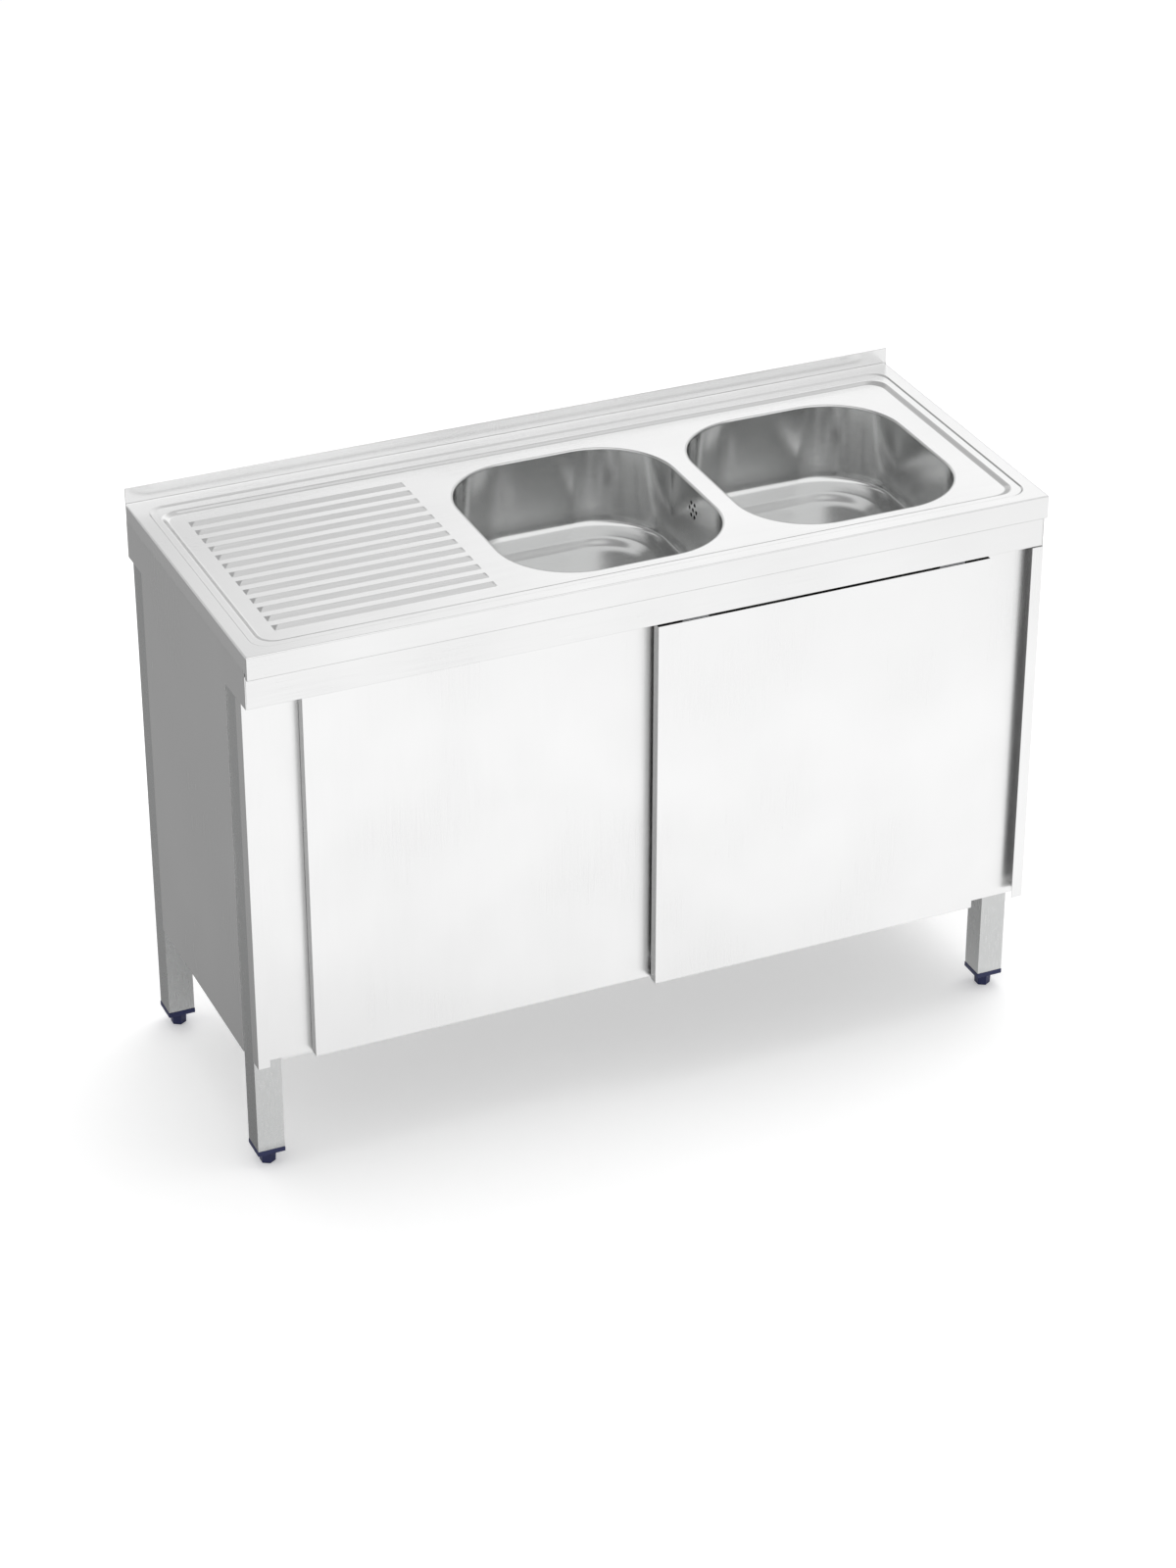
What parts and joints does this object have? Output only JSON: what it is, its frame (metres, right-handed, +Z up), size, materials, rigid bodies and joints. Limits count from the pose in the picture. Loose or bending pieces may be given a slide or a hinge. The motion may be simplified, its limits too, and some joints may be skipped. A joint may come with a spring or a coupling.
{
  "type": "sink unit",
  "caption": "Stainless steel sink cabinet with a ribbed drainer beside round-cornered bowls, a low rear upstand and sliding doors in two layers, on square legs with screw feet.",
  "frame": {"origin": "on the floor under the middle of the worktop", "axes": "+X to the right and +Y to the back, as seen from the front of the cabinet; +Z up"},
  "size_m": [1.2, 0.5, 0.875],
  "materials": {
    "satin_stainless": "satin polished sheet",
    "brushed_bowl_steel": "drawn and brushed sheet",
    "leg_steel": "ground square tube",
    "zinc_plate": "zinc plated",
    "navy_plastic": "moulded, dark blue",
    "white_nylon": "moulded",
    "black_rubber": "moulded",
    "black_plastic": "moulded"
  },
  "bodies": {
    "cabinet": {"sink_top": "satin_stainless", "bowl_left": "brushed_bowl_steel", "bowl_right": "brushed_bowl_steel", "waste_body_left": "satin_stainless", "waste_body_right": "satin_stainless", "waste_gasket_left": "black_rubber", "waste_gasket_right": "black_rubber", "waste_nut_left": "black_plastic", "waste_nut_right": "black_plastic", "overflow_box_left": "black_plastic", "overflow_box_right": "black_plastic", "overflow_pipe_left": "black_plastic", "overflow_pipe_right": "black_plastic", "front_fascia": "satin_stainless", "rear_rail": "zinc_plate", "back_panel": "satin_stainless", "bottom_shelf": "satin_stainless", "side_panel_left": "satin_stainless", "side_panel_right": "satin_stainless", "leg_front_left": "leg_steel", "leg_front_right": "leg_steel", "leg_rear_left": "leg_steel", "leg_rear_right": "leg_steel", "foot_cap_front_left": "navy_plastic", "foot_cap_front_right": "navy_plastic", "foot_cap_rear_left": "navy_plastic", "foot_cap_rear_right": "navy_plastic", "jamb_left": "satin_stainless", "jamb_right": "satin_stainless", "jamb_screw_left_low": "zinc_plate", "jamb_screw_left_high": "zinc_plate", "jamb_screw_right_low": "zinc_plate", "jamb_screw_right_high": "zinc_plate", "door_track": "zinc_plate", "door_guide": "zinc_plate"},
    "left_door": {"door_front_left": "satin_stainless", "door_back_left": "satin_stainless", "hanger_bracket_left_left": "zinc_plate", "hanger_bracket_left_right": "zinc_plate", "hanger_axle_left_left": "zinc_plate", "hanger_axle_left_right": "zinc_plate"},
    "right_door": {"door_front_right": "satin_stainless", "door_back_right": "satin_stainless", "hanger_bracket_right_left": "zinc_plate", "hanger_bracket_right_right": "zinc_plate", "hanger_axle_right_left": "zinc_plate", "hanger_axle_right_right": "zinc_plate"},
    "left_door_roller_left": {"hanger_roller_left_left": "white_nylon"},
    "left_door_roller_right": {"hanger_roller_left_right": "white_nylon"},
    "right_door_roller_left": {"hanger_roller_right_left": "white_nylon"},
    "right_door_roller_right": {"hanger_roller_right_right": "white_nylon"},
    "screw_foot_front_left": {"foot_front_left": "navy_plastic"},
    "screw_foot_front_right": {"foot_front_right": "navy_plastic"},
    "screw_foot_rear_left": {"foot_rear_left": "navy_plastic"},
    "screw_foot_rear_right": {"foot_rear_right": "navy_plastic"},
    "plug_left": {"waste_plug_left": "black_rubber"},
    "plug_right": {"waste_plug_right": "black_rubber"}
  },
  "joints": [
    {"name": "left_door_slide", "type": "slide", "parent": "cabinet", "child": "left_door", "axis": [1, 0, 0], "range_m": [0, 0.49]},
    {"name": "right_door_slide", "type": "slide", "parent": "cabinet", "child": "right_door", "axis": [-1, 0, 0], "range_m": [0, 0.49]},
    {"name": "left_door_roller_left_turn", "type": "hinge", "parent": "left_door", "child": "left_door_roller_left", "pos_m": [-0.45625, -0.21075, 0.8172], "axis": [0, 1, 0], "range_deg": [0, 2560]},
    {"name": "left_door_roller_right_turn", "type": "hinge", "parent": "left_door", "child": "left_door_roller_right", "pos_m": [-0.05625, -0.21075, 0.8172], "axis": [0, 1, 0], "range_deg": [0, 2560]},
    {"name": "right_door_roller_left_turn", "type": "hinge", "parent": "right_door", "child": "right_door_roller_left", "pos_m": [0.05625, -0.23275, 0.8172], "axis": [0, -1, 0], "range_deg": [0, 2560]},
    {"name": "right_door_roller_right_turn", "type": "hinge", "parent": "right_door", "child": "right_door_roller_right", "pos_m": [0.45625, -0.23275, 0.8172], "axis": [0, -1, 0], "range_deg": [0, 2560]},
    {"name": "foot_front_left_screw", "type": "slide", "parent": "cabinet", "child": "screw_foot_front_left", "axis": [0, 0, -1], "range_m": [0, 0.02]},
    {"name": "foot_front_right_screw", "type": "slide", "parent": "cabinet", "child": "screw_foot_front_right", "axis": [0, 0, -1], "range_m": [0, 0.02]},
    {"name": "foot_rear_left_screw", "type": "slide", "parent": "cabinet", "child": "screw_foot_rear_left", "axis": [0, 0, -1], "range_m": [0, 0.02]},
    {"name": "foot_rear_right_screw", "type": "slide", "parent": "cabinet", "child": "screw_foot_rear_right", "axis": [0, 0, -1], "range_m": [0, 0.02]},
    {"name": "plug_left_lift", "type": "slide", "parent": "cabinet", "child": "plug_left", "axis": [0, 0, 1], "range_m": [0, 0.05]},
    {"name": "plug_right_lift", "type": "slide", "parent": "cabinet", "child": "plug_right", "axis": [0, 0, 1], "range_m": [0, 0.05]}
  ],
  "couplings": [
    {"joint": "left_door_roller_left_turn", "follows": "left_door_slide", "rad_per_m": 90.909},
    {"joint": "left_door_roller_right_turn", "follows": "left_door_slide", "rad_per_m": 90.909},
    {"joint": "right_door_roller_left_turn", "follows": "right_door_slide", "rad_per_m": 90.909},
    {"joint": "right_door_roller_right_turn", "follows": "right_door_slide", "rad_per_m": 90.909}
  ]
}
